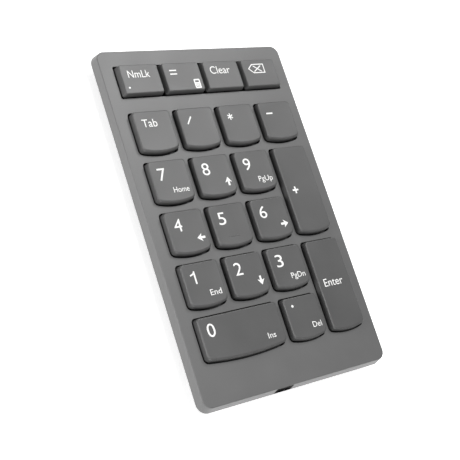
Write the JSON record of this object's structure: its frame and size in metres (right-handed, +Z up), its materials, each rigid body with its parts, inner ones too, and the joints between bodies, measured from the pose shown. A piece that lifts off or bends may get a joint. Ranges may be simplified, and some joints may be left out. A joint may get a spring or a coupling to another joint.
{
  "type": "numeric keypad",
  "caption": "Low wireless numeric keypad: drafted case, scissor keys with bowed front edges and one straight top row, base tub with feet, charging socket and a stowed plug-in receiver.",
  "frame": {"origin": "under the middle of the keypad, on the surface that its feet stand on", "axes": "+X to the user's right, +Y towards the rear edge (top row of keys), +Z up"},
  "size_m": [0.0856, 0.1358, 0.0126],
  "materials": {
    "case_plastic": "fine moulded texture",
    "key_plastic": "satin",
    "base_plastic": "moulded texture",
    "foot_rubber": "matt",
    "screw_steel": "blackened",
    "sheet_steel": "stamped sheet",
    "film": "printed film",
    "dome_rubber": "moulded silicone",
    "socket_steel": "plated",
    "board": "solder mask",
    "battery_foil": "foil pouch",
    "switch_plastic": "moulded",
    "plug_steel": "drawn shell",
    "grip_plastic": "satin",
    "lens": "clear window",
    "link_plastic": "moulded acetal",
    "wire_steel": "drawn wire"
  },
  "bodies": {
    "chassis": {"top_case": "case_plastic", "bottom_cover": "base_plastic", "rubber_feet": "foot_rubber", "cover_screws": "screw_steel", "backplate": "sheet_steel", "membrane": "film", "rubber_domes": "dome_rubber", "charging_socket": "socket_steel", "main_board": "board", "battery": "battery_foil", "power_switch_body": "switch_plastic", "scissor_tab": "link_plastic", "scissor_divide": "link_plastic", "scissor_multiply": "link_plastic", "scissor_minus": "link_plastic", "scissor_7": "link_plastic", "scissor_8": "link_plastic", "scissor_9": "link_plastic", "scissor_plus": "link_plastic", "scissor_4": "link_plastic", "scissor_5": "link_plastic", "scissor_6": "link_plastic", "scissor_1": "link_plastic", "scissor_2": "link_plastic", "scissor_3": "link_plastic", "scissor_enter": "link_plastic", "scissor_0": "link_plastic", "scissor_point": "link_plastic", "scissor_num_lock": "link_plastic", "scissor_equals": "link_plastic", "scissor_clear": "link_plastic", "scissor_backspace": "link_plastic"},
    "key_tab": {"key_tab": "key_plastic"},
    "key_divide": {"key_divide": "key_plastic"},
    "key_multiply": {"key_multiply": "key_plastic"},
    "key_minus": {"key_minus": "key_plastic"},
    "key_7": {"key_7": "key_plastic"},
    "key_8": {"key_8": "key_plastic"},
    "key_9": {"key_9": "key_plastic"},
    "key_plus": {"key_plus": "key_plastic"},
    "key_4": {"key_4": "key_plastic"},
    "key_5": {"key_5": "key_plastic"},
    "key_6": {"key_6": "key_plastic"},
    "key_1": {"key_1": "key_plastic"},
    "key_2": {"key_2": "key_plastic"},
    "key_3": {"key_3": "key_plastic"},
    "key_enter": {"key_enter": "key_plastic"},
    "key_0": {"key_0": "key_plastic"},
    "key_point": {"key_point": "key_plastic"},
    "key_num_lock": {"key_num_lock": "key_plastic", "num_lock_lens": "lens"},
    "key_equals": {"key_equals": "key_plastic"},
    "key_clear": {"key_clear": "key_plastic"},
    "key_backspace": {"key_backspace": "key_plastic"},
    "stabilizer_0": {"stabilizer_0": "wire_steel"},
    "stabilizer_plus": {"stabilizer_plus": "wire_steel"},
    "stabilizer_enter": {"stabilizer_enter": "wire_steel"},
    "power_switch_knob": {"power_switch_knob": "switch_plastic"},
    "receiver": {"receiver_shell": "plug_steel", "receiver_body": "grip_plastic"}
  },
  "joints": [
    {"name": "press_tab", "type": "slide", "parent": "chassis", "child": "key_tab", "axis": [0, 0, -1], "range_m": [0, 0.0018], "stiffness_N_per_m": 150, "springref_m": -0.001, "deforming": ["scissor_tab", "rubber_domes"]},
    {"name": "press_divide", "type": "slide", "parent": "chassis", "child": "key_divide", "axis": [0, 0, -1], "range_m": [0, 0.0018], "stiffness_N_per_m": 150, "springref_m": -0.001, "deforming": ["scissor_divide", "rubber_domes"]},
    {"name": "press_multiply", "type": "slide", "parent": "chassis", "child": "key_multiply", "axis": [0, 0, -1], "range_m": [0, 0.0018], "stiffness_N_per_m": 150, "springref_m": -0.001, "deforming": ["scissor_multiply", "rubber_domes"]},
    {"name": "press_minus", "type": "slide", "parent": "chassis", "child": "key_minus", "axis": [0, 0, -1], "range_m": [0, 0.0018], "stiffness_N_per_m": 150, "springref_m": -0.001, "deforming": ["scissor_minus", "rubber_domes"]},
    {"name": "press_7", "type": "slide", "parent": "chassis", "child": "key_7", "axis": [0, 0, -1], "range_m": [0, 0.0018], "stiffness_N_per_m": 150, "springref_m": -0.001, "deforming": ["scissor_7", "rubber_domes"]},
    {"name": "press_8", "type": "slide", "parent": "chassis", "child": "key_8", "axis": [0, 0, -1], "range_m": [0, 0.0018], "stiffness_N_per_m": 150, "springref_m": -0.001, "deforming": ["scissor_8", "rubber_domes"]},
    {"name": "press_9", "type": "slide", "parent": "chassis", "child": "key_9", "axis": [0, 0, -1], "range_m": [0, 0.0018], "stiffness_N_per_m": 150, "springref_m": -0.001, "deforming": ["scissor_9", "rubber_domes"]},
    {"name": "press_plus", "type": "slide", "parent": "chassis", "child": "key_plus", "axis": [0, 0, -1], "range_m": [0, 0.0018], "stiffness_N_per_m": 150, "springref_m": -0.001, "deforming": ["scissor_plus", "rubber_domes"]},
    {"name": "press_4", "type": "slide", "parent": "chassis", "child": "key_4", "axis": [0, 0, -1], "range_m": [0, 0.0018], "stiffness_N_per_m": 150, "springref_m": -0.001, "deforming": ["scissor_4", "rubber_domes"]},
    {"name": "press_5", "type": "slide", "parent": "chassis", "child": "key_5", "axis": [0, 0, -1], "range_m": [0, 0.0018], "stiffness_N_per_m": 150, "springref_m": -0.001, "deforming": ["scissor_5", "rubber_domes"]},
    {"name": "press_6", "type": "slide", "parent": "chassis", "child": "key_6", "axis": [0, 0, -1], "range_m": [0, 0.0018], "stiffness_N_per_m": 150, "springref_m": -0.001, "deforming": ["scissor_6", "rubber_domes"]},
    {"name": "press_1", "type": "slide", "parent": "chassis", "child": "key_1", "axis": [0, 0, -1], "range_m": [0, 0.0018], "stiffness_N_per_m": 150, "springref_m": -0.001, "deforming": ["scissor_1", "rubber_domes"]},
    {"name": "press_2", "type": "slide", "parent": "chassis", "child": "key_2", "axis": [0, 0, -1], "range_m": [0, 0.0018], "stiffness_N_per_m": 150, "springref_m": -0.001, "deforming": ["scissor_2", "rubber_domes"]},
    {"name": "press_3", "type": "slide", "parent": "chassis", "child": "key_3", "axis": [0, 0, -1], "range_m": [0, 0.0018], "stiffness_N_per_m": 150, "springref_m": -0.001, "deforming": ["scissor_3", "rubber_domes"]},
    {"name": "press_enter", "type": "slide", "parent": "chassis", "child": "key_enter", "axis": [0, 0, -1], "range_m": [0, 0.0018], "stiffness_N_per_m": 150, "springref_m": -0.001, "deforming": ["scissor_enter", "rubber_domes"]},
    {"name": "press_0", "type": "slide", "parent": "chassis", "child": "key_0", "axis": [0, 0, -1], "range_m": [0, 0.0018], "stiffness_N_per_m": 150, "springref_m": -0.001, "deforming": ["scissor_0", "rubber_domes"]},
    {"name": "press_point", "type": "slide", "parent": "chassis", "child": "key_point", "axis": [0, 0, -1], "range_m": [0, 0.0018], "stiffness_N_per_m": 150, "springref_m": -0.001, "deforming": ["scissor_point", "rubber_domes"]},
    {"name": "press_num_lock", "type": "slide", "parent": "chassis", "child": "key_num_lock", "axis": [0, 0, -1], "range_m": [0, 0.0018], "stiffness_N_per_m": 150, "springref_m": -0.001, "deforming": ["scissor_num_lock", "rubber_domes"]},
    {"name": "press_equals", "type": "slide", "parent": "chassis", "child": "key_equals", "axis": [0, 0, -1], "range_m": [0, 0.0018], "stiffness_N_per_m": 150, "springref_m": -0.001, "deforming": ["scissor_equals", "rubber_domes"]},
    {"name": "press_clear", "type": "slide", "parent": "chassis", "child": "key_clear", "axis": [0, 0, -1], "range_m": [0, 0.0018], "stiffness_N_per_m": 150, "springref_m": -0.001, "deforming": ["scissor_clear", "rubber_domes"]},
    {"name": "press_backspace", "type": "slide", "parent": "chassis", "child": "key_backspace", "axis": [0, 0, -1], "range_m": [0, 0.0018], "stiffness_N_per_m": 150, "springref_m": -0.001, "deforming": ["scissor_backspace", "rubber_domes"]},
    {"name": "turn_stabilizer_0", "type": "hinge", "parent": "chassis", "child": "stabilizer_0", "pos_m": [-0.019, -0.04353, 0.008], "axis": [-1, 0, 0], "range_deg": [0, 20]},
    {"name": "turn_stabilizer_plus", "type": "hinge", "parent": "chassis", "child": "stabilizer_plus", "pos_m": [0.0274, 0.00419, 0.008], "axis": [0, -1, 0], "range_deg": [0, 20]},
    {"name": "turn_stabilizer_enter", "type": "hinge", "parent": "chassis", "child": "stabilizer_enter", "pos_m": [0.0274, -0.03487, 0.008], "axis": [0, -1, 0], "range_deg": [0, 20]},
    {"name": "slide_power_switch", "type": "slide", "parent": "chassis", "child": "power_switch_knob", "axis": [-1, 0, 0], "range_m": [0, 0.0025]},
    {"name": "pull_receiver", "type": "slide", "parent": "chassis", "child": "receiver", "axis": [0, 0, -1], "range_m": [0, 0.008]}
  ],
  "couplings": [
    {"joint": "turn_stabilizer_0", "follows": "press_0", "rad_per_m": 189.3},
    {"joint": "turn_stabilizer_plus", "follows": "press_plus", "rad_per_m": 189.3},
    {"joint": "turn_stabilizer_enter", "follows": "press_enter", "rad_per_m": 189.3}
  ]
}
